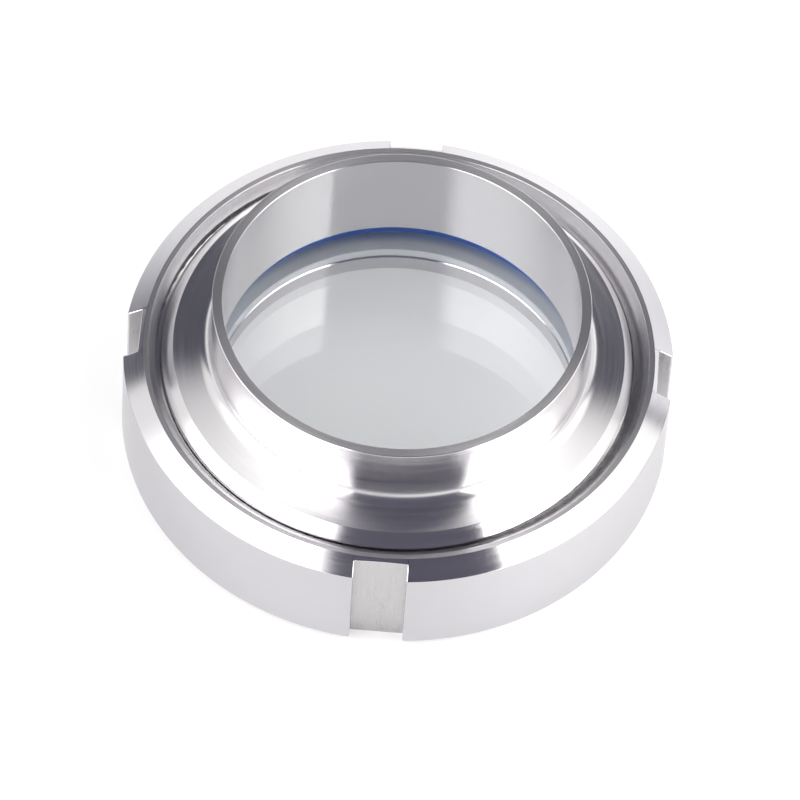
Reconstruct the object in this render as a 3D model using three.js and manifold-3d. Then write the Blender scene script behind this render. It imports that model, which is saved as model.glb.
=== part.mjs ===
// Union sight glass for a 76 mm sanitary pipe: a slotted round nut clamps a glass disc
// against the seat of a threaded weld ferrule. Millimetres, +Z up, origin at the centre
// of the face that the nut stands on. The pipe axis is Z.

import * as THREE from 'three';
import { mergeVertices } from 'three/addons/utils/BufferGeometryUtils.js';
import Module from 'manifold-3d';

const wasm = await Module();
wasm.setup();

// Segments round a full turn.
const TURN_SEGMENTS = 72;
const THREAD_SEGMENTS = 48;

// Pipe end of the ferrule: a 76.1 mm tube that is butt-welded to the line.
const TUBE_OUTER_R = 38.05;
const BORE_R = 36.0;
const OVERALL_HEIGHT = 40.0;
const RIM_EDGE = 0.2;

// Threaded collar of the ferrule, a cup that is open towards the glass.
const SEAT_Z = 18.15;
const CUP_R = 42.6;
const COLLAR_BOTTOM_Z = 8.5;
const CUP_EDGE = 0.6;
const COLLAR_EDGE_Z = 22.8;
const COLLAR_CHAMFER_WIDTH = 2.4;
const COLLAR_CHAMFER_DEPTH = 2.1;
const SHOULDER_R = 40.9;
const SHOULDER_Z = 25.7;
const FILLET_TOP_Z = 28.6;
const FILLET_STEPS = 5;

// Round thread, six turns to the inch, right-handed: a ridge in the nut runs in a groove
// round the collar. The middle of both passes this height on the +X side.
const PITCH = 25.4 / 6;
const THREAD_Z = 22.35;
const FERRULE_ROOT_R = 45.9;
const FERRULE_CREST_R = 48.0;
const NUT_ROOT_R = 49.0;
const NUT_CREST_R = 46.5;
const RIDGE_CREST_WIDTH = 1.3;
const FLANK_SLOPE = 0.22;
const FLANK_CLEARANCE = 0.3;
const THREAD_LEAD_IN = 1.6;
// The groove gets shallower over the last eighth of a turn, and ends a quarter turn past +X.
const GROOVE_END_TURN = 0.25;
const RUN_OUT_TURNS = 0.125;
// The ridge goes on to where the nut's flared mouth cuts it away.
const RIDGE_END_TURN = 0.5;
// How far a cut or a joined piece reaches past the surface that it cuts or joins.
const OVERLAP = 0.5;

// Slotted round nut.
const NUT_R = 55.6;
const NUT_HEIGHT = 24.6;
const NUT_TOP_CHAMFER_WIDTH = 3.9;
const NUT_TOP_CHAMFER_DEPTH = 2.5;
const NUT_BOTTOM_CHAMFER = 1.7;
const MOUTH_R = 50.65;
const RELIEF_R = 49.3;
const RELIEF_TOP_Z = 7.0;
const LIP_THICKNESS = 4.0;
const LIP_BORE_R = 36.7;
const LIP_EDGE = 0.25;
const SLOT_COUNT = 4;
const SLOT_WIDTH = 10.6;
const SLOT_FLOOR_R = 52.4;

// Soft and glass parts, stacked on the nut's lip.
const STACK_GAP = 0.05;
const GASKET_THICKNESS = 2.05;
const GASKET_INNER_R = 37.0;
const GASKET_OUTER_R = 42.0;
const GLASS_THICKNESS = 8.0;
const GLASS_R = 42.0;
const GLASS_EDGE = 0.5;
const SEAL_INNER_R = 37.8;
const SEAL_OUTER_R = 42.2;
const SEAL_EDGE = 0.4;

const GASKET_Z = LIP_THICKNESS + STACK_GAP;
const GLASS_Z = GASKET_Z + GASKET_THICKNESS + STACK_GAP;
const SEAL_Z = GLASS_Z + GLASS_THICKNESS + STACK_GAP;
const SEAL_THICKNESS = SEAT_Z - STACK_GAP - SEAL_Z;

const steel = new THREE.MeshStandardMaterial({ color: 0xc9c8cc, roughness: 0.16, metalness: 1 });
const turnedSteel = new THREE.MeshStandardMaterial({ color: 0xcfced2, roughness: 0.22, metalness: 1 });
const glass = new THREE.MeshStandardMaterial({
  color: 0xdfe8ea,
  roughness: 0.03,
  metalness: 0,
  transparent: true,
  opacity: 0.35,
});
const blueRubber = new THREE.MeshStandardMaterial({ color: 0x1c4aa8, roughness: 0.5, metalness: 0 });
const whiteGasket = new THREE.MeshStandardMaterial({ color: 0xe4e6e6, roughness: 0.55, metalness: 0 });

// A closed three.js geometry as a manifold solid.
function toSolid(geometry) {
  const bare = geometry.clone();
  bare.deleteAttribute('normal');
  bare.deleteAttribute('uv');
  const merged = mergeVertices(bare, 1e-4);
  return new wasm.Manifold(new wasm.Mesh({
    numProp: 3,
    vertProperties: new Float32Array(merged.attributes.position.array),
    triVerts: new Uint32Array(merged.index.array),
  }));
}

// A manifold solid as a three.js geometry.
function toGeometry(solid) {
  const mesh = solid.getMesh();
  const geometry = new THREE.BufferGeometry();
  geometry.setAttribute('position', new THREE.BufferAttribute(mesh.vertProperties, 3));
  geometry.setIndex(new THREE.BufferAttribute(mesh.triVerts, 1));
  geometry.computeVertexNormals();
  return geometry;
}

// A closed [radius, height] outline, listed anticlockwise, turned about Z.
function ring(outline) {
  const points = outline.map(([radius, height]) => new THREE.Vector2(radius, height));
  points.push(points[0].clone());
  const geometry = new THREE.LatheGeometry(points, TURN_SEGMENTS);
  geometry.rotateX(Math.PI / 2);
  return geometry;
}

// A flat ring with equal bevels on its four edges.
function bevelledRing(innerR, outerR, bottom, thickness, edge) {
  const top = bottom + thickness;
  return ring([
    [innerR, bottom + edge],
    [innerR + edge, bottom],
    [outerR - edge, bottom],
    [outerR, bottom + edge],
    [outerR, top - edge],
    [outerR - edge, top],
    [innerR + edge, top],
    [innerR, top - edge],
  ]);
}

// A thread's ridge, or the shape that cuts its groove: a bar wound along a right-handed helix
// about Z, narrower on its inner side. It ends endTurn turns past +X and winds down below
// bottomZ. Over its last fadeTurns its inner side moves out past outerR.
function threadBar({ innerR, outerR, clearance, endTurn, fadeTurns, bottomZ }) {
  const halfWidth = (radius) => (
    RIDGE_CREST_WIDTH / 2 + (radius - NUT_CREST_R) * FLANK_SLOPE + clearance
  );
  const reach = halfWidth(outerR);
  const startTurn = (bottomZ - reach - THREAD_Z) / PITCH;
  const steps = Math.ceil((endTurn - startTurn) * THREAD_SEGMENTS);
  const corners = 4;
  const positions = [];
  for (let step = 0; step <= steps; step++) {
    const turn = endTurn - (steps - step) / THREAD_SEGMENTS;
    const angle = turn * 2 * Math.PI;
    const middle = THREAD_Z + turn * PITCH;
    const faded = fadeTurns > 0 ? Math.max(0, 1 - (endTurn - turn) / fadeTurns) : 0;
    const inner = innerR + (outerR - OVERLAP / 2 - innerR) * faded;
    const section = [
      [inner, -halfWidth(inner)],
      [outerR, -reach],
      [outerR, reach],
      [inner, halfWidth(inner)],
    ];
    for (const [radius, rise] of section) {
      positions.push(radius * Math.cos(angle), radius * Math.sin(angle), middle + rise);
    }
  }
  const faces = [];
  for (let step = 0; step < steps; step++) {
    for (let corner = 0; corner < corners; corner++) {
      const here = step * corners + corner;
      const next = step * corners + ((corner + 1) % corners);
      faces.push(here, here + corners, next);
      faces.push(next, here + corners, next + corners);
    }
  }
  const last = steps * corners;
  for (let corner = 1; corner < corners - 1; corner++) {
    faces.push(0, corner, corner + 1);
    faces.push(last, last + corner + 1, last + corner);
  }
  const geometry = new THREE.BufferGeometry();
  geometry.setAttribute('position', new THREE.Float32BufferAttribute(positions, 3));
  geometry.setIndex(faces);
  return toSolid(geometry);
}

// The ferrule's turned body: tube, fillet, shoulder, collar and the cup that holds the seal.
function ferruleBody() {
  const outline = [
    [BORE_R, SEAT_Z],
    [CUP_R, SEAT_Z],
    [CUP_R, COLLAR_BOTTOM_Z + CUP_EDGE],
    [CUP_R + CUP_EDGE, COLLAR_BOTTOM_Z],
    [FERRULE_CREST_R - THREAD_LEAD_IN, COLLAR_BOTTOM_Z],
    [FERRULE_CREST_R, COLLAR_BOTTOM_Z + THREAD_LEAD_IN],
    [FERRULE_CREST_R, COLLAR_EDGE_Z],
    [FERRULE_CREST_R - COLLAR_CHAMFER_WIDTH, COLLAR_EDGE_Z + COLLAR_CHAMFER_DEPTH],
    [SHOULDER_R, SHOULDER_Z],
  ];
  const filletWidth = SHOULDER_R - TUBE_OUTER_R;
  const filletHeight = FILLET_TOP_Z - SHOULDER_Z;
  for (let step = 1; step <= FILLET_STEPS; step++) {
    const angle = (step / FILLET_STEPS) * (Math.PI / 2);
    outline.push([
      SHOULDER_R - filletWidth * Math.sin(angle),
      SHOULDER_Z + filletHeight * (1 - Math.cos(angle)),
    ]);
  }
  outline.push([TUBE_OUTER_R, OVERALL_HEIGHT - RIM_EDGE]);
  outline.push([TUBE_OUTER_R - RIM_EDGE, OVERALL_HEIGHT]);
  outline.push([BORE_R + RIM_EDGE, OVERALL_HEIGHT]);
  outline.push([BORE_R, OVERALL_HEIGHT - RIM_EDGE]);
  return toSolid(ring(outline));
}

function weldFerrule() {
  const groove = threadBar({
    innerR: FERRULE_ROOT_R,
    outerR: FERRULE_CREST_R + OVERLAP,
    clearance: FLANK_CLEARANCE,
    endTurn: GROOVE_END_TURN,
    fadeTurns: RUN_OUT_TURNS,
    bottomZ: COLLAR_BOTTOM_Z,
  });
  return toGeometry(ferruleBody().subtract(groove));
}

// The nut's turned body: chamfered outside, with a plain bore above its lip.
function nutBody() {
  return toSolid(ring([
    [LIP_BORE_R + LIP_EDGE, 0],
    [NUT_R - NUT_BOTTOM_CHAMFER, 0],
    [NUT_R, NUT_BOTTOM_CHAMFER],
    [NUT_R, NUT_HEIGHT - NUT_TOP_CHAMFER_DEPTH],
    [NUT_R - NUT_TOP_CHAMFER_WIDTH, NUT_HEIGHT],
    [NUT_ROOT_R, NUT_HEIGHT],
    [NUT_ROOT_R, RELIEF_TOP_Z],
    [RELIEF_R, RELIEF_TOP_Z - (RELIEF_R - NUT_ROOT_R)],
    [RELIEF_R, LIP_THICKNESS],
    [LIP_BORE_R + LIP_EDGE, LIP_THICKNESS],
    [LIP_BORE_R, LIP_THICKNESS - LIP_EDGE],
    [LIP_BORE_R, LIP_EDGE],
  ]));
}

// The shape that flares the nut's mouth at 45 degrees, down to the ridge's crest.
function mouthCutter() {
  const footR = NUT_CREST_R - OVERLAP;
  const points = [
    new THREE.Vector2(0, NUT_HEIGHT - (MOUTH_R - footR)),
    new THREE.Vector2(footR, NUT_HEIGHT - (MOUTH_R - footR)),
    new THREE.Vector2(MOUTH_R + OVERLAP, NUT_HEIGHT + OVERLAP),
    new THREE.Vector2(0, NUT_HEIGHT + OVERLAP),
  ];
  const geometry = new THREE.LatheGeometry(points, TURN_SEGMENTS);
  geometry.rotateX(Math.PI / 2);
  return toSolid(geometry);
}

// The nut's ridge, cut off flat where the relief starts and at the nut's top.
function nutRidge() {
  const ridge = threadBar({
    innerR: NUT_CREST_R,
    outerR: NUT_ROOT_R + OVERLAP,
    clearance: 0,
    endTurn: RIDGE_END_TURN,
    fadeTurns: 0,
    bottomZ: RELIEF_TOP_Z,
  });
  const space = toSolid(ring([
    [NUT_CREST_R - OVERLAP, RELIEF_TOP_Z],
    [NUT_ROOT_R + 2 * OVERLAP, RELIEF_TOP_Z],
    [NUT_ROOT_R + 2 * OVERLAP, NUT_HEIGHT],
    [NUT_CREST_R - OVERLAP, NUT_HEIGHT],
  ]));
  return ridge.intersect(space);
}

// The four spanner slots run the full height of the nut and have flat floors.
function spannerSlots() {
  const depth = 2 * (NUT_R - SLOT_FLOOR_R);
  const slots = [];
  for (let index = 0; index < SLOT_COUNT; index++) {
    const slot = new THREE.BoxGeometry(depth, SLOT_WIDTH, 2 * NUT_HEIGHT);
    slot.translate(SLOT_FLOOR_R + depth / 2, 0, NUT_HEIGHT / 2);
    slot.rotateZ((index / SLOT_COUNT) * 2 * Math.PI);
    slots.push(toSolid(slot));
  }
  return slots;
}

function unionNut() {
  let nut = nutBody().add(nutRidge()).subtract(mouthCutter());
  for (const slot of spannerSlots()) {
    nut = nut.subtract(slot);
  }
  return toGeometry(nut);
}

function glassDisc() {
  const top = GLASS_Z + GLASS_THICKNESS;
  const outline = [
    [0, GLASS_Z],
    [GLASS_R - GLASS_EDGE, GLASS_Z],
    [GLASS_R, GLASS_Z + GLASS_EDGE],
    [GLASS_R, top - GLASS_EDGE],
    [GLASS_R - GLASS_EDGE, top],
    [0, top],
  ];
  const points = outline.map(([radius, height]) => new THREE.Vector2(radius, height));
  const geometry = new THREE.LatheGeometry(points, TURN_SEGMENTS);
  geometry.rotateX(Math.PI / 2);
  return geometry;
}

function nutGasket() {
  return ring([
    [GASKET_INNER_R, GASKET_Z],
    [GASKET_OUTER_R, GASKET_Z],
    [GASKET_OUTER_R, GASKET_Z + GASKET_THICKNESS],
    [GASKET_INNER_R, GASKET_Z + GASKET_THICKNESS],
  ]);
}

function sealRing() {
  return bevelledRing(SEAL_INNER_R, SEAL_OUTER_R, SEAL_Z, SEAL_THICKNESS, SEAL_EDGE);
}

function namedMesh(name, geometry, material) {
  const mesh = new THREE.Mesh(geometry, material);
  mesh.name = name;
  return mesh;
}

const sightGlass = new THREE.Group();
sightGlass.add(
  namedMesh('union_nut', unionNut(), steel),
  namedMesh('weld_ferrule', weldFerrule(), turnedSteel),
  namedMesh('seal_ring', sealRing(), blueRubber),
  namedMesh('glass_disc', glassDisc(), glass),
  namedMesh('nut_gasket', nutGasket(), whiteGasket),
);

export default sightGlass;
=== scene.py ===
"""Union sight glass, the visual model.

Lengths are millimetres in the outlines and the constants, and metres in Blender.
"""

import math

import bmesh
import bpy
import numpy as np
from mathutils import Matrix, Vector


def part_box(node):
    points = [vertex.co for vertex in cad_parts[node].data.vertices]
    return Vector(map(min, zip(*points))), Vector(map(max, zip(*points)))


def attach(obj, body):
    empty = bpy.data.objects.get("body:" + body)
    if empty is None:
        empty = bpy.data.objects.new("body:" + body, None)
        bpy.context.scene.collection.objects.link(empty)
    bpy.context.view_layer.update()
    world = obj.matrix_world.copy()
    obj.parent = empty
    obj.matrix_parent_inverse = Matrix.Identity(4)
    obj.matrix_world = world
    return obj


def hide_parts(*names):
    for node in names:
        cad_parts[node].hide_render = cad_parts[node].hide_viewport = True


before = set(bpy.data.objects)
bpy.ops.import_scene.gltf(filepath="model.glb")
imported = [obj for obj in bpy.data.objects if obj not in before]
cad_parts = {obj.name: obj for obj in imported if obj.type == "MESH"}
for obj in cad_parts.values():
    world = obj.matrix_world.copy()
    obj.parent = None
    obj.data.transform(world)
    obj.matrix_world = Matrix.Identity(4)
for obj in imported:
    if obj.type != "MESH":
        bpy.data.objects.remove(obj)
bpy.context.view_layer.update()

MM = 0.001
FULL_TURN = 2 * math.pi


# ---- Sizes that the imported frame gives, in millimetres ----

def radii(node):
    """The smallest and largest distance of a CAD node's corners from the pipe axis."""
    corners = np.array([v.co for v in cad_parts[node].data.vertices]) / MM
    reach = np.hypot(corners[:, 0], corners[:, 1])
    return float(reach.min()), float(reach.max())


def heights(node):
    """The lowest and highest level of a CAD node."""
    low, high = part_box(node)
    return low.z / MM, high.z / MM


LIP_BORE_R, NUT_R = radii("union_nut")
NUT_HEIGHT = heights("union_nut")[1]
BORE_R, CREST_R = radii("weld_ferrule")
COLLAR_BOTTOM_Z, RIM_Z = heights("weld_ferrule")
SEAL_INNER_R, SEAL_OUTER_R = radii("seal_ring")
SEAL_BOTTOM_Z, SEAL_TOP_Z = heights("seal_ring")
GLASS_R = radii("glass_disc")[1]
GLASS_BOTTOM_Z, GLASS_TOP_Z = heights("glass_disc")
GASKET_INNER_R, GASKET_OUTER_R = radii("nut_gasket")
GASKET_BOTTOM_Z, GASKET_TOP_Z = heights("nut_gasket")

# ---- Sizes of the turned shapes, in millimetres ----

# The pieces of the stack don't quite touch.
STACK_GAP = 0.05
TUBE_R = 38.05
SEAT_Z = SEAL_TOP_Z + STACK_GAP
CUP_R = 42.6
ROOT_R = 45.9
COLLAR_EDGE_Z = 22.8
COLLAR_CHAMFER_WIDTH = 2.4
COLLAR_CHAMFER_DEPTH = 2.1
SHOULDER_R = 40.9
SHOULDER_Z = 25.7
FILLET_TOP_Z = 28.6
THREAD_LEAD_IN = 1.6

PITCH = 25.4 / 6
THREAD_Z = 22.35
RIDGE_CREST_HALF = 0.65
FLANK_SLOPE = 0.22
FLANK_CLEARANCE = 0.3
THREAD_ROUNDING = 0.3
# Where the groove ends, its floor has come up this far past the crest.
GROOVE_END_RISE = 0.25
GROOVE_END_TURN = 0.25
RUN_OUT_TURNS = 0.125
RIDGE_END_TURN = 0.5
# Below this level the mesh follows the thread, and above it there is a ring at each fine step.
FINE_Z = 20.2
FINE_STEP = 0.05

TOP_CHAMFER_WIDTH = 3.9
TOP_CHAMFER_DEPTH = 2.5
BOTTOM_CHAMFER = 1.7
LAND_OUTER_R = NUT_R - TOP_CHAMFER_WIDTH
MOUTH_R = 50.65
NUT_ROOT_R = 49.0
NUT_CREST_R = 46.5
RELIEF_R = 49.3
RELIEF_TOP_Z = 7.0
LIP_TOP_Z = GASKET_BOTTOM_Z - STACK_GAP
LIP_EDGE = 0.25
SLOT_COUNT = 4
SLOT_HALF = 5.3
SLOT_FLOOR_R = 52.4

# ---- Roundings and how finely the meshes are divided, lengths in millimetres ----

EDGE_ROUNDING = 0.22
SLOT_ROUNDING = 0.3
CHAMFER_ROUNDING = 0.1
GROOVE_EDGE_ROUNDING = 0.15
TURN_COLUMNS = 288
SOFT_COLUMNS = 180
# A rounding takes at most this share of each side that it joins.
MOST_OF_A_SIDE = 0.45
MERGE_M = 1e-7

# ---- Looks ----

# Most values of a noise texture lie between these two.
NOISE_LOW, NOISE_HIGH = 0.3, 0.7
RING_WIDTH, RING_DRIFT = 0.16, 1.5
BAND_WIDTH, BAND_DRIFT = 1.3, 2.5
RING_SHARE = 0.55
TURNED_ROUGHNESS = 0.18
TURNED_ANISOTROPY = 0.95
TURNED_GROOVE = 0.0002
# A quarter turn of the highlight, in the shader's own unit, so that it runs across the marks.
ANISOTROPIC_ROTATION = 0.25


# ---- Mesh making ----

def rounded(outline, rounding, steps=4):
    """A closed outline with each corner rounded. rounding is one radius, or one for each corner."""
    sizes = rounding if hasattr(rounding, "__len__") else [rounding] * len(outline)
    made = []
    for k, corner in enumerate(outline):
        here = np.array(corner, float)
        before = np.array(outline[k - 1], float) - here
        after = np.array(outline[(k + 1) % len(outline)], float) - here
        if sizes[k] <= 0:
            made.append(tuple(here))
            continue
        before_len, after_len = np.linalg.norm(before), np.linalg.norm(after)
        before, after = before / before_len, after / after_len
        half = math.acos(max(-1.0, min(1.0, float(before @ after)))) / 2
        back = min(sizes[k] / math.tan(half),
                   MOST_OF_A_SIDE * before_len, MOST_OF_A_SIDE * after_len)
        radius = back * math.tan(half)
        bisector = (before + after) / np.linalg.norm(before + after)
        centre = here + bisector * radius / math.sin(half)
        start = here + before * back - centre
        end = here + after * back - centre
        a0 = math.atan2(start[1], start[0])
        turn = math.remainder(math.atan2(end[1], end[0]) - a0, FULL_TURN)
        for i in range(steps + 1):
            a = a0 + turn * i / steps
            made.append((centre[0] + radius * math.cos(a), centre[1] + radius * math.sin(a)))
    return made


def new_object(name, vertices, faces, materials, indices=None):
    """A smooth object from vertices in metres, with those that coincide merged."""
    mesh = bpy.data.meshes.new(name)
    mesh.from_pydata([tuple(v) for v in vertices], [], faces)
    for material in materials:
        mesh.materials.append(material)
    if indices is not None:
        mesh.polygons.foreach_set("material_index", indices)
    work = bmesh.new()
    work.from_mesh(mesh)
    bmesh.ops.remove_doubles(work, verts=work.verts, dist=MERGE_M)
    work.to_mesh(mesh)
    work.free()
    mesh.polygons.foreach_set("use_smooth", [True] * len(mesh.polygons))
    obj = bpy.data.objects.new(name, mesh)
    bpy.context.scene.collection.objects.link(obj)
    return obj


def wrapped_grid(name, points, materials, indices=None, close_rows=True, seam=None):
    """A surface from points[row][column] in millimetres. Columns go round the axis. seam gives, for
    each row, the row that carries on from its last column."""
    rows, columns = points.shape[:2]
    vertices = points.reshape(-1, 3) * MM
    seam = range(rows) if seam is None else seam
    faces = []
    for i in range(rows if close_rows else rows - 1):
        below = (i + 1) % rows
        here, there = i * columns, below * columns
        for j in range(columns - 1):
            faces.append((here + j, here + j + 1, there + j + 1, there + j))
        last = columns - 1
        faces.append((here + last, seam[i] * columns, seam[below] * columns, there + last))
    return new_object(name, vertices, faces, materials, indices)


def lathe(name, outline, material, columns=TURN_COLUMNS, closed=True):
    """An outline of (radius, height) points, anticlockwise, turned about the pipe axis."""
    angles = np.arange(columns) * FULL_TURN / columns
    points = np.array([
        [(r * math.cos(a), r * math.sin(a), z) for a in angles]
        for r, z in outline
    ])
    return wrapped_grid(name, points, [material], close_rows=closed)


def weighted_normals(obj, sharp_deg=35):
    """Shades broad faces flat and true, and lets the small roundings take the turn of the light."""
    obj.data.set_sharp_from_angle(angle=math.radians(sharp_deg))
    modifier = obj.modifiers.new("weighted_normals", "WEIGHTED_NORMAL")
    modifier.keep_sharp = True
    return obj


def along_thread(bottom, top, angles, inner_corner, outer_corner, coarse=1):
    """Levels of the lines that follow the thread between two heights, and are held at those
    heights outside them. The lines crowd at the corners of the thread's section. A coarse of 2
    leaves out every second line of each crowd. Also returns how many lines there are to a turn."""
    near, far = 0.04, 0.12
    half = [inner_corner / 2]
    beyond = [(inner_corner + outer_corner) / 2, (outer_corner + PITCH / 2) / 2 + 0.05]
    for corner, next_line in zip((inner_corner, outer_corner), beyond):
        half += [corner - near, corner, corner + near, corner + far][::coarse] + [next_line]
    offsets = [-PITCH / 2] + [-d for d in reversed(half)] + [0] + half
    first = math.floor((bottom - THREAD_Z) / PITCH) - 1
    last = math.ceil((top - THREAD_Z) / PITCH) + 1
    lines = np.array([
        THREAD_Z + PITCH * turn + offset
        for turn in range(first - 1, last) for offset in offsets
    ])
    return np.clip(lines[:, None] + PITCH * angles / FULL_TURN, bottom, top), len(offsets)


def off_thread(z, angles, end_turn):
    """How far a level is above or below the middle of the nearest turn of the thread, and which
    turn that is."""
    part_turn = angles / FULL_TURN
    whole = np.round((z - THREAD_Z) / PITCH - part_turn)
    turn = part_turn + np.minimum(whole, np.floor(end_turn - part_turn))
    return np.abs(z - THREAD_Z - PITCH * turn), turn


def soft_min(a, b, rounding=THREAD_ROUNDING):
    """The lesser of two values, with the corner where they cross rounded."""
    share = np.clip(0.5 + 0.5 * (b - a) / rounding, 0, 1)
    return b + (a - b) * share - rounding * share * (1 - share)


def groove_r(z, angles):
    """The radius of the groove round the collar, which gets shallower as it ends."""
    away, turn = off_thread(z, angles, GROOVE_END_TURN)
    faded = np.clip(1 - (GROOVE_END_TURN - turn) / RUN_OUT_TURNS, 0, 1)
    floor = ROOT_R + (CREST_R + GROOVE_END_RISE - ROOT_R) * faded
    flank = NUT_CREST_R + (away - RIDGE_CREST_HALF - FLANK_CLEARANCE) / FLANK_SLOPE
    return -soft_min(-floor, -flank)


def ridge_r(z, angles):
    """The radius of the nut's threaded wall, with the ridge standing inwards from it."""
    away, _ = off_thread(z, angles, RIDGE_END_TURN)
    flank = NUT_CREST_R + (away - RIDGE_CREST_HALF) / FLANK_SLOPE
    return np.minimum(-soft_min(-flank, -NUT_CREST_R), NUT_ROOT_R)


# ---- Node helpers for procedural materials ----

class Graph:
    """A short way to write shader nodes."""

    def __init__(self, tree):
        self.tree = tree
        tree.nodes.clear()

    def node(self, kind, **settings):
        made = self.tree.nodes.new(kind)
        for key, value in settings.items():
            setattr(made, key, value)
        return made

    def put(self, socket, value):
        if isinstance(value, bpy.types.NodeSocket):
            self.tree.links.new(value, socket)
        else:
            socket.default_value = value

    def math(self, operation, a, b=0.0):
        made = self.node("ShaderNodeMath", operation=operation)
        self.put(made.inputs[0], a)
        self.put(made.inputs[1], b)
        return made.outputs[0]

    def vector(self, operation, a, b=None):
        made = self.node("ShaderNodeVectorMath", operation=operation)
        self.put(made.inputs[0], a)
        if b is not None:
            self.put(made.inputs[1], b)
        return made.outputs["Value" if operation == "LENGTH" else "Vector"]

    def step(self, value, start, end, low=0.0, high=1.0):
        """Goes smoothly from low to high while the value goes from start to end."""
        made = self.node("ShaderNodeMapRange", interpolation_type="SMOOTHSTEP")
        self.put(made.inputs["Value"], value)
        self.put(made.inputs["From Min"], start)
        self.put(made.inputs["From Max"], end)
        self.put(made.inputs["To Min"], low)
        self.put(made.inputs["To Max"], high)
        return made.outputs[0]

    def mix(self, share, a, b):
        """The colour a where the share is 0 and the colour b where it is 1."""
        made = self.node("ShaderNodeMix", data_type="RGBA")
        self.put(made.inputs[0], share)
        self.put(made.inputs[6], a)
        self.put(made.inputs[7], b)
        return made.outputs[2]

    def noise(self, vector, w, scale, detail, roughness):
        made = self.node("ShaderNodeTexNoise", noise_dimensions="4D")
        self.put(made.inputs["Vector"], vector)
        self.put(made.inputs["W"], w)
        made.inputs["Scale"].default_value = scale
        made.inputs["Detail"].default_value = detail
        made.inputs["Roughness"].default_value = roughness
        return made.outputs[0]

    def split(self, vector):
        """The x, y and z of a vector."""
        made = self.node("ShaderNodeSeparateXYZ")
        self.put(made.inputs[0], vector)
        return made.outputs[0], made.outputs[1], made.outputs[2]

    def position(self):
        """Where a point lies on its piece, in metres."""
        return self.node("ShaderNodeTexCoord").outputs["Object"]

    def from_axis(self):
        """How far a point lies from the pipe axis, in metres."""
        return self.vector("LENGTH", self.vector("MULTIPLY", self.position(), (1, 1, 0)))

    def bump(self, shader, height, depth):
        """Relief on a surface, its depth in millimetres."""
        made = self.node("ShaderNodeBump")
        made.inputs["Distance"].default_value = depth * MM
        self.put(made.inputs["Height"], height)
        self.put(shader.inputs["Normal"], made.outputs[0])


def material_graph(name):
    """A new material with one principled shader, and its graph."""
    material = bpy.data.materials.new(name)
    material.use_nodes = True
    graph = Graph(material.node_tree)
    shader = graph.node("ShaderNodeBsdfPrincipled")
    output = graph.node("ShaderNodeOutputMaterial")
    graph.tree.links.new(shader.outputs[0], output.inputs["Surface"])
    return material, graph, shader


def turned_coordinates(graph, width, drift):
    """Coordinates for marks left by turning: a mark's width in millimetres across the tool's path,
    and a slow drift round it."""
    x, y, z = graph.split(graph.position())
    reach = graph.from_axis()
    across = graph.node("ShaderNodeCombineXYZ")
    graph.put(across.inputs[0], graph.math("MULTIPLY", reach, 1 / (width * MM)))
    graph.put(across.inputs[1], graph.math("MULTIPLY", z, 1 / (width * MM)))
    cosine = graph.math("DIVIDE", x, reach)
    sine = graph.math("DIVIDE", y, reach)
    graph.put(across.inputs[2], graph.math("MULTIPLY", cosine, drift))
    return across.outputs[0], graph.math("MULTIPLY", sine, drift)


def steel(name, tint, dark_tint, spread, wall=None):
    """Stainless steel with turning marks: fine rings, and slow changes in polish round the part.
    spread is how far the roughness goes up and down. wall is the radius of an outer wall that
    takes darker tints, painted shade so that it reflects less of the glowing floor, and its two
    tints."""
    material, graph, shader = material_graph(name)
    fine, fine_w = turned_coordinates(graph, RING_WIDTH, RING_DRIFT)
    broad, broad_w = turned_coordinates(graph, BAND_WIDTH, BAND_DRIFT)
    rings = graph.noise(fine, fine_w, scale=1.0, detail=3.0, roughness=0.6)
    bands = graph.noise(broad, broad_w, scale=1.0, detail=2.0, roughness=0.55)
    marks = graph.math("ADD", graph.math("MULTIPLY", rings, RING_SHARE),
                       graph.math("MULTIPLY", bands, 1 - RING_SHARE))
    colour = graph.mix(marks, dark_tint, tint)
    if wall:
        # Painted shade: the outer wall takes darker tints than the rest of the nut.
        wall_r, shaded_wall_tint, dark_shaded_wall_tint = wall
        fade_start, fade_end = (wall_r - 0.2) * MM, (wall_r - 0.08) * MM
        wall_shade = graph.step(graph.from_axis(), fade_start, fade_end)
        colour = graph.mix(wall_shade, colour, graph.mix(marks, dark_shaded_wall_tint, shaded_wall_tint))
    graph.put(shader.inputs["Base Color"], colour)
    graph.put(shader.inputs["Roughness"],
              graph.step(marks, NOISE_LOW, NOISE_HIGH,
                         TURNED_ROUGHNESS - spread, TURNED_ROUGHNESS + spread))
    shader.inputs["Metallic"].default_value = 1.0
    shader.inputs["Anisotropic"].default_value = TURNED_ANISOTROPY
    shader.inputs["Anisotropic Rotation"].default_value = ANISOTROPIC_ROTATION
    tangent = graph.node("ShaderNodeTangent", direction_type="RADIAL", axis="Z")
    graph.put(shader.inputs["Tangent"], tangent.outputs[0])
    graph.bump(shader, marks, TURNED_GROOVE)
    return material


def milled_steel(name):
    """The spanner slots: cut by an end mill and left a little rougher than the turned faces."""
    material, graph, shader = material_graph(name)
    marks_to_a_metre = (2600.0, 2600.0, 190.0)
    stretched = graph.vector("MULTIPLY", graph.position(), marks_to_a_metre)
    marks = graph.noise(stretched, 0.0, scale=1.0, detail=2.0, roughness=0.5)
    dark_tint, tint = (0.43, 0.42, 0.43, 1), (0.56, 0.55, 0.56, 1)
    smooth, rough = 0.26, 0.4
    graph.put(shader.inputs["Base Color"], graph.mix(marks, dark_tint, tint))
    graph.put(shader.inputs["Roughness"], graph.step(marks, NOISE_LOW, NOISE_HIGH, smooth, rough))
    shader.inputs["Metallic"].default_value = 1.0
    graph.bump(shader, marks, depth=0.004)
    return material


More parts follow.
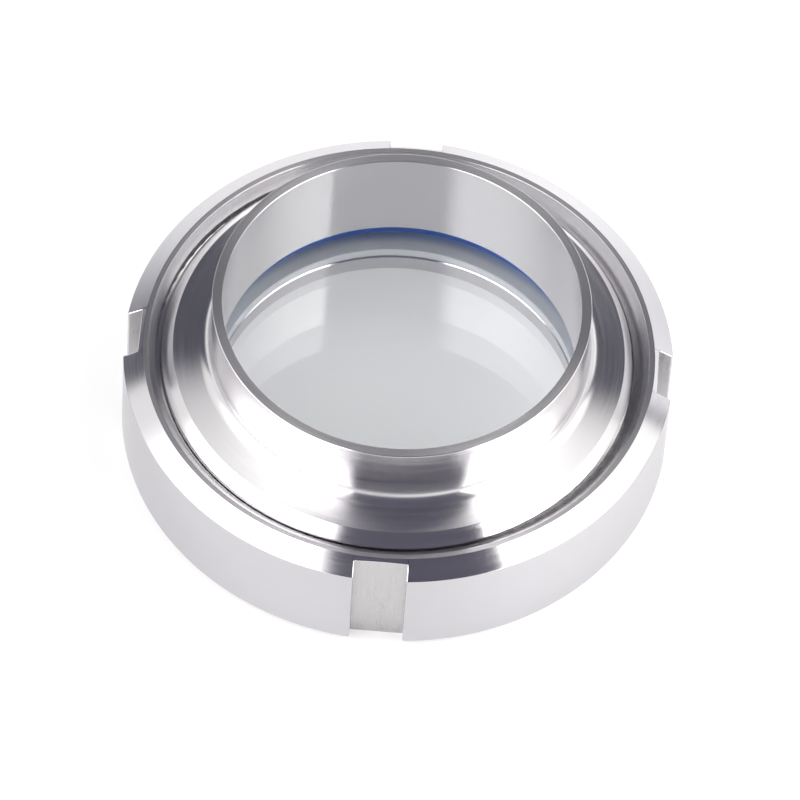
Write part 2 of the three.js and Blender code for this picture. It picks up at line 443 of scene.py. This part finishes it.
def clear_glass(name):
    """Polished plate glass, with a faint waviness."""
    material, graph, shader = material_graph(name)
    waves = graph.noise(graph.position(), 0.0, scale=60.0, detail=1.0, roughness=0.4)
    graph.bump(shader, waves, depth=0.004)
    shader.inputs["Base Color"].default_value = (0.97, 0.985, 1, 1)
    shader.inputs["Roughness"].default_value = 0.0
    shader.inputs["IOR"].default_value = 1.5
    shader.inputs["Transmission Weight"].default_value = 1.0
    return material


def moulded(name, light, dark, roughness, grain, outer_shade_tint=None):
    """A moulded or cut soft ring: mottled colour with a fine matt grain. outer_shade_tint is a
    colour that it takes on towards its outer edge, painted shade with a painted blue reflection of
    the seal, and the radii where that starts and ends."""
    material, graph, shader = material_graph(name)
    clouds = graph.noise(graph.position(), 0.0, scale=180.0, detail=3.0, roughness=0.5)
    specks = graph.noise(graph.position(), 3.0, scale=2600.0, detail=2.0, roughness=0.6)
    spread = 0.08
    colour = graph.mix(clouds, dark, light)
    if outer_shade_tint:
        # Painted shade and painted reflection: darker and bluer towards the outer edge, where the
        # seal shades the ring.
        tint, start_r, end_r = outer_shade_tint
        shade_outwards = graph.step(graph.from_axis(), start_r * MM, end_r * MM)
        colour = graph.mix(shade_outwards, colour, tint)
    graph.put(shader.inputs["Base Color"], colour)
    graph.put(shader.inputs["Roughness"],
              graph.step(specks, NOISE_LOW, NOISE_HIGH, roughness - spread, roughness + spread))
    graph.bump(shader, specks, grain)
    return material


# ---- The pieces ----

def ferrule_piece(material):
    """Tube, fillet, shoulder, chamfered collar with its round thread, and the cup for the seal."""
    angles = np.arange(TURN_COLUMNS) * FULL_TURN / TURN_COLUMNS
    cup_chamfer = 0.6
    lower = rounded([
        (BORE_R, SEAT_Z),
        (CUP_R, SEAT_Z),
        (CUP_R, COLLAR_BOTTOM_Z + cup_chamfer),
        (CUP_R + cup_chamfer, COLLAR_BOTTOM_Z),
        (CREST_R - THREAD_LEAD_IN, COLLAR_BOTTOM_Z),
        (CREST_R - THREAD_LEAD_IN, COLLAR_BOTTOM_Z + 1),
    ], rounding=[0.1, 0.3, 0.1, 0.1, 0, 0])[:-1]
    first_turn, fillet_steps = 0.12, 12
    fillet = [
        (
            SHOULDER_R - (SHOULDER_R - TUBE_R) * math.sin(t),
            SHOULDER_Z + (FILLET_TOP_Z - SHOULDER_Z) * (1 - math.cos(t)),
        )
        for t in np.linspace(first_turn, math.pi / 2, fillet_steps)
    ]
    chamfer_slope = COLLAR_CHAMFER_WIDTH / COLLAR_CHAMFER_DEPTH
    chamfer_top = (CREST_R - COLLAR_CHAMFER_WIDTH, COLLAR_EDGE_Z + COLLAR_CHAMFER_DEPTH)
    upper = rounded([
        (chamfer_top[0] + chamfer_slope, chamfer_top[1] - 1),
        chamfer_top,
        (SHOULDER_R + 0.1, SHOULDER_Z),
    ], rounding=[0, 0.12, 0])[1:-1]
    rim = rounded([
        (TUBE_R, FILLET_TOP_Z + 1),
        (TUBE_R, RIM_Z),
        (BORE_R, RIM_Z),
        (BORE_R, SEAT_Z + 1),
    ], rounding=[0, 0.2, 0.15, 0])
    rows = [[(r, z)] * TURN_COLUMNS for r, z in lower]
    floor_corner = RIDGE_CREST_HALF + FLANK_CLEARANCE + (ROOT_R - NUT_CREST_R) * FLANK_SLOPE
    edge_corner = RIDGE_CREST_HALF + FLANK_CLEARANCE + (CREST_R - NUT_CREST_R) * FLANK_SLOPE
    lines, to_a_turn = along_thread(COLLAR_BOTTOM_Z, FINE_Z, angles, floor_corner, edge_corner)
    thread_start, thread_end = len(rows), len(rows) + len(lines) - 1
    levels = [np.full(len(angles), z) for z in np.arange(FINE_Z, upper[0][1], FINE_STEP)[1:]]
    for z in [*lines, *levels]:
        lead_in = CREST_R - THREAD_LEAD_IN + (z - COLLAR_BOTTOM_Z)
        chamfer = CREST_R + (COLLAR_EDGE_Z - z) * chamfer_slope
        wall = soft_min(np.minimum(lead_in, CREST_R), chamfer, CHAMFER_ROUNDING)
        reach = soft_min(groove_r(z, angles), wall, GROOVE_EDGE_ROUNDING)
        rows.append(list(zip(reach, z)))
    for r, z in [(float(min(r, CREST_R)), z) for r, z in upper] + fillet + rim:
        rows.append([(r, z)] * TURN_COLUMNS)
    flat = np.array(rows)
    points = np.stack([
        flat[:, :, 0] * np.cos(angles),
        flat[:, :, 0] * np.sin(angles),
        flat[:, :, 1],
    ], axis=-1)
    seam = np.arange(len(rows))
    thread = slice(thread_start, thread_end + 1)
    seam[thread] = np.minimum(seam[thread] + to_a_turn, thread_end)
    return weighted_normals(wrapped_grid("ferrule_turned", points, [material], seam=seam))


def slot_outline():
    """The nut seen from above, one quarter turn from a slot's middle to the next: for each column
    its place, the way it faces, its angle for the round inner faces, and whether it lies in the
    slot. The inner angles run ahead past the slot's wall, so that no face reaches over the slot."""
    wall_end = math.sqrt((NUT_R - SLOT_ROUNDING) ** 2 - (SLOT_HALF + SLOT_ROUNDING) ** 2)
    wall_angle = math.atan2(SLOT_HALF, wall_end)
    corner_angle = math.atan2(SLOT_HALF + SLOT_ROUNDING, wall_end)
    floor_angle = math.atan2(SLOT_HALF, SLOT_FLOOR_R)
    lead, lead_end = math.radians(0.8), math.radians(16)

    def inner_angle(angle):
        return angle + lead * max(0, lead_end - angle) / (lead_end - wall_angle)

    floor_shares, wall_shares = (0, 0.2, 0.4, 0.6, 0.8, 0.995), (0.01, 0.25, 0.5, 0.75, 1)
    corner_steps, arc_steps = 6, 36
    half = []
    for share in floor_shares:
        half.append(((SLOT_FLOOR_R, share * SLOT_HALF), (1, 0), share * floor_angle, True))
    for share in wall_shares:
        x = SLOT_FLOOR_R + share * (wall_end - SLOT_FLOOR_R)
        angle = floor_angle + share * (inner_angle(wall_angle) - floor_angle)
        half.append(((x, SLOT_HALF), (0, -1), angle, True))
    for t in np.linspace(-math.pi / 2, corner_angle, corner_steps + 1)[1:]:
        way = (math.cos(t), math.sin(t))
        x = wall_end + SLOT_ROUNDING * way[0]
        y = SLOT_HALF + SLOT_ROUNDING * (1 + way[1])
        half.append(((x, y), way, inner_angle(math.atan2(y, x)), False))
    for t in np.linspace(corner_angle, FULL_TURN / SLOT_COUNT / 2, arc_steps + 1)[1:]:
        way = (math.cos(t), math.sin(t))
        half.append(((NUT_R * way[0], NUT_R * way[1]), way, inner_angle(t), False))
    quarter = FULL_TURN / SLOT_COUNT
    c, s = math.cos(quarter), math.sin(quarter)
    mirrored = [
        ((x * c + y * s, x * s - y * c), (nx * c + ny * s, nx * s - ny * c), quarter - angle, slot)
        for (x, y), (nx, ny), angle, slot in reversed(half[1:-1])
    ]
    return half + mirrored


def nut_columns():
    """The whole outline of the nut: places, facing directions, inner angles and slot flags."""
    places, ways, angles, slots = [], [], [], []
    for k in range(SLOT_COUNT):
        turn = k * FULL_TURN / SLOT_COUNT
        c, s = math.cos(turn), math.sin(turn)
        for (x, y), (nx, ny), angle, slot in slot_outline():
            places.append((x * c - y * s, x * s + y * c))
            ways.append((nx * c - ny * s, nx * s + ny * c))
            angles.append(angle + turn)
            slots.append(slot)
    return np.array(places), np.array(ways), np.array(angles), np.array(slots)


def nut_piece(turned, milled):
    """The slotted round nut: lip, chamfers, slots with softened edges, flared mouth and thread."""
    places, ways, angles, slots = nut_columns()
    slope = TOP_CHAMFER_DEPTH / TOP_CHAMFER_WIDTH

    def top_level(xy):
        return NUT_HEIGHT - slope * (np.hypot(xy[:, 0], xy[:, 1]) - LAND_OUTER_R)

    def bottom_level(xy):
        return np.maximum(np.hypot(xy[:, 0], xy[:, 1]) - (NUT_R - BOTTOM_CHAMFER), 0)

    def edge_rows(level, sign, sweep):
        """Rows that round the edge between the side and the face above or below it."""
        probe = 0.05
        tilt = np.arctan((level(places - ways * probe) - level(places)) * sign / probe)
        start = level(places)
        rise = EDGE_ROUNDING * (np.tan(tilt) - 1 / np.cos(tilt)) * sign
        made = []
        for share in sweep:
            t = share * (math.pi / 2 - tilt)
            xy = places - ways * (EDGE_ROUNDING * (1 - np.cos(t)))[:, None]
            made.append(np.column_stack([xy, start + rise + sign * EDGE_ROUNDING * np.sin(t)]))
        return made

    def ring_row(radius, z):
        levels = np.full(len(angles), z)
        return np.column_stack([radius * np.cos(angles), radius * np.sin(angles), levels])

    lip_width, foot_width = 8, 2.5
    rows = [ring_row(r, z) for r, z in rounded([
        (LIP_BORE_R, LIP_TOP_Z / 2),
        (LIP_BORE_R, LIP_EDGE),
        (LIP_BORE_R + LIP_EDGE, 0),
        (LIP_BORE_R + lip_width, 0),
    ], rounding=[0, 0.1, 0.1, 0])]
    # The flat foot ends where the bottom chamfer or the slot begins, whichever comes first.
    bottom_edge = edge_rows(bottom_level, -1, np.linspace(1, 0, 5))
    foot_r = NUT_R - BOTTOM_CHAMFER
    inner_foot_r = foot_r - foot_width
    foot = ring_row(inner_foot_r, 0)
    rows.append(foot)
    reach = np.hypot(bottom_edge[0][:, 0], bottom_edge[0][:, 1])
    for inset in (0.06, 0.001):
        share = (reach - np.minimum(foot_r, reach) + inset) / (reach - inner_foot_r)
        row = bottom_edge[0] * (1 - share)[:, None] + foot * share[:, None]
        row[:, 2] = 0
        rows.append(row)
    rows += bottom_edge
    top_edge = edge_rows(top_level, 1, np.linspace(0, 1, 5))
    side_row = len(rows) - 1
    rows += top_edge
    land_edge = rounded([
        (LAND_OUTER_R + TOP_CHAMFER_WIDTH, NUT_HEIGHT - TOP_CHAMFER_DEPTH),
        (LAND_OUTER_R, NUT_HEIGHT),
        (MOUTH_R, NUT_HEIGHT),
        (MOUTH_R - 1, NUT_HEIGHT - 1),
    ], rounding=[0, 0.25, 0.12, 0])[1:-1]
    rows += [ring_row(r, z) for r, z in land_edge]
    foot_corner = RIDGE_CREST_HALF + (NUT_ROOT_R - NUT_CREST_R) * FLANK_SLOPE
    lines, to_a_turn = along_thread(
        RELIEF_TOP_Z, FINE_Z, angles, RIDGE_CREST_HALF, foot_corner, coarse=2)
    mouth_levels = np.arange(FINE_Z, land_edge[-1][1], FINE_STEP)[1:]
    levels = [np.full(len(angles), z) for z in mouth_levels]
    thread_start = len(rows) + len(levels)
    thread_end = thread_start + len(lines) - 1
    for z in [*levels[::-1], *lines[::-1]]:
        cone = MOUTH_R - (NUT_HEIGHT - z)
        rows.append(ring_row(-soft_min(-ridge_r(z, angles), -cone, CHAMFER_ROUNDING), z))
    relief_start_z = RELIEF_TOP_Z - 0.02
    rows += [ring_row(r, z) for r, z in rounded([
        (NUT_ROOT_R, relief_start_z),
        (RELIEF_R, relief_start_z - (RELIEF_R - NUT_ROOT_R)),
        (RELIEF_R, LIP_TOP_Z),
        (LIP_BORE_R + LIP_EDGE, LIP_TOP_Z),
        (LIP_BORE_R, LIP_TOP_Z - LIP_EDGE),
        (LIP_BORE_R, LIP_TOP_Z / 2 + 0.2),
    ], rounding=[0, 0.1, 0.5, 0.08, 0.08, 0])]
    points = np.array(rows)
    indices = np.zeros(points.shape[:2], int)
    in_slot = slots & np.roll(slots, -1)
    indices[side_row, in_slot] = 1
    seam = np.arange(len(rows))
    thread = slice(thread_start, thread_end + 1)
    seam[thread] = np.maximum(seam[thread] - to_a_turn, thread_start)
    nut = wrapped_grid("nut_turned", points, [turned, milled], indices.ravel(), seam=seam)
    return weighted_normals(nut)


def glass_piece(material):
    """The glass disc, with ground bevels on both rims."""
    bevel = 0.5
    outline = [
        (0, GLASS_BOTTOM_Z),
        (GLASS_R - bevel, GLASS_BOTTOM_Z),
        (GLASS_R, GLASS_BOTTOM_Z + bevel),
        (GLASS_R, GLASS_TOP_Z - bevel),
        (GLASS_R - bevel, GLASS_TOP_Z),
        (0, GLASS_TOP_Z),
    ]
    disc = lathe("glass_plate", outline, material, closed=False)
    disc.data.set_sharp_from_angle(angle=math.radians(30))
    return disc


def seal_piece(material):
    """The moulded seal: a ring with rounded lips."""
    outline = rounded([
        (SEAL_INNER_R, SEAL_BOTTOM_Z),
        (SEAL_OUTER_R, SEAL_BOTTOM_Z),
        (SEAL_OUTER_R, SEAL_TOP_Z),
        (SEAL_INNER_R, SEAL_TOP_Z),
    ], rounding=0.4, steps=5)
    return weighted_normals(lathe("seal_moulded", outline, material, columns=SOFT_COLUMNS))


def gasket_piece(material):
    """The flat gasket on the nut's lip."""
    outline = rounded([
        (GASKET_INNER_R, GASKET_BOTTOM_Z),
        (GASKET_OUTER_R, GASKET_BOTTOM_Z),
        (GASKET_OUTER_R, GASKET_TOP_Z),
        (GASKET_INNER_R, GASKET_TOP_Z),
    ], rounding=0.15, steps=3)
    return weighted_normals(lathe("gasket_cut", outline, material, columns=SOFT_COLUMNS))


def place(piece, body, node):
    """Ties a piece to its body, and hides the CAD node that it stands for."""
    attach(piece, body)
    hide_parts(node)


# ---- Camera, light and floor ----

def add_camera():
    """A long lens from the front, 53 degrees above the floor, turned 4 degrees about its own line.
    drop and shove are how far it aims below and to the right of the nut's upper edge."""
    elevation, azimuth, roll = math.radians(53.17), math.radians(0.7), math.radians(3.99)
    drop, shove = 8.77 * MM, 0.28 * MM
    distance = 26.04 * NUT_R * MM
    focus = Vector((0, 0, (NUT_HEIGHT - TOP_CHAMFER_DEPTH) * MM))
    forward = Vector((0, math.cos(elevation), -math.sin(elevation)))
    level = Vector((1, 0, 0))
    turn = Matrix.Rotation(azimuth, 3, "Z")
    forward, level = turn @ forward, turn @ level
    upright = level.cross(forward)
    up = upright * math.cos(roll) - level * math.sin(roll)
    right = level * math.cos(roll) + upright * math.sin(roll)
    location = focus - forward * distance
    target = focus - up * drop + right * shove
    forward = (target - location).normalized()
    right = forward.cross(up).normalized()
    up = right.cross(forward)
    data = bpy.data.cameras.new("camera")
    data.sensor_width = 36
    data.lens = 322.7
    data.clip_end = 100
    camera = bpy.data.objects.new("camera", data)
    axes = Matrix((right, up, -forward)).transposed()
    camera.matrix_world = Matrix.Translation(location) @ axes.to_4x4()
    bpy.context.scene.collection.objects.link(camera)
    bpy.context.scene.camera = camera


def add_surroundings():
    """A light tent: two bright panels with a dark slit between them, a dim back and a pale horizon.
    Overhead it is drawn on a level plane at height 1, where x runs right and y runs back."""
    world = bpy.data.worlds.new("light_tent")
    bpy.context.scene.world = world
    world.use_nodes = True
    graph = Graph(world.node_tree)
    way_x, way_y, way_z = graph.split(graph.node("ShaderNodeTexCoord").outputs["Generated"])
    up = graph.math("MAXIMUM", way_z, 0.02)
    x = graph.math("DIVIDE", way_x, up)
    y = graph.math("DIVIDE", way_y, up)
    off_centre = graph.math("ABSOLUTE", x)

    # The panels get brighter towards the front.
    front_y, back_y = -0.5, 0.5
    left_light = graph.step(y, back_y, front_y, 1.15, 4.6)
    right_light = graph.step(y, back_y, front_y, 1.6, 5.4)
    left_panel = graph.vector("MULTIPLY", (1, 0.985, 0.98), left_light)
    right_panel = graph.vector("MULTIPLY", (1, 0.985, 0.965), right_light)
    tent = graph.mix(graph.step(x, -0.05, 0.05), left_panel, right_panel)

    # The slit gets narrower towards the back. Its left edge is soft and its right edge sharp.
    soft, sharp = 0.11, 0.012
    slit_left = graph.math("SUBTRACT", graph.math("MULTIPLY", y, 0.26), 0.18)
    slit_right = graph.math("SUBTRACT", 0.32, graph.math("MULTIPLY", y, 0.62))
    inside_left = graph.step(graph.math("SUBTRACT", x, slit_left), -soft, soft)
    inside_right = graph.step(graph.math("SUBTRACT", slit_right, x), -sharp, sharp)
    slit = graph.math("MULTIPLY", inside_left, inside_right)
    tent = graph.mix(slit, tent, (0.125, 0.12, 0.16, 1))

    # The dim back starts further away at the sides, and has a paler spot in the middle.
    back_start = graph.math("ADD", graph.math("MULTIPLY", off_centre, 0.2), 0.52)
    back = graph.step(graph.math("SUBTRACT", y, back_start), -0.04, 0.12)
    pale_spot = graph.math("MULTIPLY", graph.step(off_centre, 0.25, 0.05),
                           graph.step(y, 0.62, 0.72))
    backdrop = graph.mix(pale_spot, (0.1, 0.1, 0.13, 1), (0.28, 0.28, 0.29, 1))
    tent = graph.mix(back, tent, backdrop)

    # The pale horizon stands higher behind the object, and its upper part is brighter there.
    behind = graph.math("MULTIPLY", graph.step(way_x, -0.6, -0.25), graph.step(way_y, 0.2, 0.6))
    horizon_height = graph.math("ADD", graph.math("MULTIPLY", behind, 0.3), 0.22)
    horizon = graph.step(graph.math("SUBTRACT", horizon_height, way_z), 0.0, 0.06)
    backlight = graph.math("MULTIPLY", behind, graph.step(way_z, 0.24, 0.34))
    white = graph.mix(backlight, (1.0, 1.0, 1.02, 1), (1.7, 1.68, 1.68, 1))
    tent = graph.mix(horizon, tent, white)

    background = graph.node("ShaderNodeBackground")
    graph.put(background.inputs[0], tent)
    output = graph.node("ShaderNodeOutputWorld")
    graph.put(output.inputs[0], background.outputs[0])


def add_floor():
    """A plain white floor that the nut stands on. It glows by its own emission, more strongly to
    the right: painted light, which also lifts the floor's shade around the nut.
    """
    half = 8.0
    grey, left_light, right_light = 0.52, 0.34, 0.56
    material, graph, shader = material_graph("glowing_floor")
    shader.inputs["Base Color"].default_value = (grey, grey, grey, 1)
    shader.inputs["Roughness"].default_value = 0.6
    # Painted light: the floor's glow, weaker on the left and stronger on the right.
    shader.inputs["Emission Color"].default_value = (1, 1, 1, 1)
    x, _, _ = graph.split(graph.position())
    light = graph.step(x, 0.0, 0.06, left_light, right_light)
    graph.put(shader.inputs["Emission Strength"], light)
    corners = [(-half, -half, 0), (half, -half, 0), (half, half, 0), (-half, half, 0)]
    mesh = bpy.data.meshes.new("floor")
    mesh.from_pydata(corners, [], [(0, 1, 2, 3)])
    mesh.materials.append(material)
    floor = bpy.data.objects.new("floor", mesh)
    bpy.context.scene.collection.objects.link(floor)


add_camera()
add_surroundings()
add_floor()

# The last two tints darken the nut's outer wall: painted shade.
nut_steel = steel("nut_steel", tint=(0.7, 0.69, 0.71, 1), dark_tint=(0.63, 0.62, 0.64, 1),
                  spread=0.03, wall=(NUT_R, (0.56, 0.55, 0.575, 1), (0.5, 0.49, 0.515, 1)))
slot_steel = milled_steel("milled_steel")
ferrule_steel = steel("ferrule_steel", tint=(0.72, 0.71, 0.72, 1),
                      dark_tint=(0.64, 0.63, 0.65, 1), spread=0.035)
blue_rubber = moulded("blue_rubber", light=(0.02, 0.1, 0.42, 1), dark=(0.015, 0.07, 0.32, 1),
                      roughness=0.45, grain=0.01)
sight_glass = clear_glass("sight_glass")
# The gasket's blue outer tint is painted shade with a painted reflection of the blue seal.
white_gasket = moulded("white_gasket", light=(0.96, 0.975, 0.99, 1), dark=(0.92, 0.94, 0.97, 1),
                       roughness=0.5, grain=0.005, outer_shade_tint=((0.42, 0.54, 0.85, 1), 38.6, 41.4))

place(nut_piece(nut_steel, slot_steel), "nut", "union_nut")
place(ferrule_piece(ferrule_steel), "ferrule", "weld_ferrule")
place(seal_piece(blue_rubber), "ferrule", "seal_ring")
place(glass_piece(sight_glass), "window", "glass_disc")
place(gasket_piece(white_gasket), "window", "nut_gasket")

bpy.context.scene.view_settings.view_transform = "Standard"
